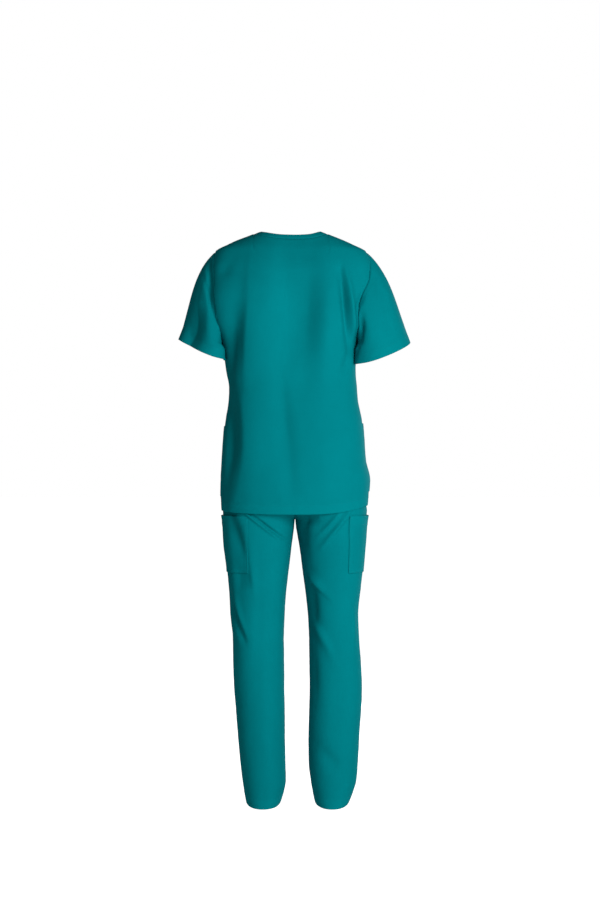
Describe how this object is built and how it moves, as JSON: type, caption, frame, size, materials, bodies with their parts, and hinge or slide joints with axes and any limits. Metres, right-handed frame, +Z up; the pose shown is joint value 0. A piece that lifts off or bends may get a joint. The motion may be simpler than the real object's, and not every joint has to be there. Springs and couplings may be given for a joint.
{
  "type": "set of medical scrubs",
  "caption": "Scrubs as worn: loose V-neck top with short drop-shoulder sleeves and low front pockets over straight cargo trousers, hollow and open at neck, cuffs, waist and hems.",
  "frame": {"origin": "between the shoulders inside the neck, where the wearer's shoulders carry the set, 1.44 m above the floor the wearer stands on", "axes": "+Z up, +X to the wearer's left, the front faces -Y and the back +Y"},
  "size_m": [0.5798, 0.2604, 1.4271],
  "materials": {
    "top_cloth": "matt plain-weave cotton and polyester, teal",
    "trouser_cloth": "matt plain-weave cotton and polyester, teal"
  },
  "bodies": {
    "root": {"top_back": "top_cloth", "top_front": "top_cloth", "sleeve_left": "top_cloth", "sleeve_right": "top_cloth", "neckband": "top_cloth", "front_pocket_left": "top_cloth", "front_pocket_right": "top_cloth", "leg_left_back": "trouser_cloth", "leg_left_front": "trouser_cloth", "leg_right_back": "trouser_cloth", "leg_right_front": "trouser_cloth", "waistband": "trouser_cloth", "cargo_pocket_left": "trouser_cloth", "cargo_pocket_right": "trouser_cloth"}
  },
  "joints": []
}
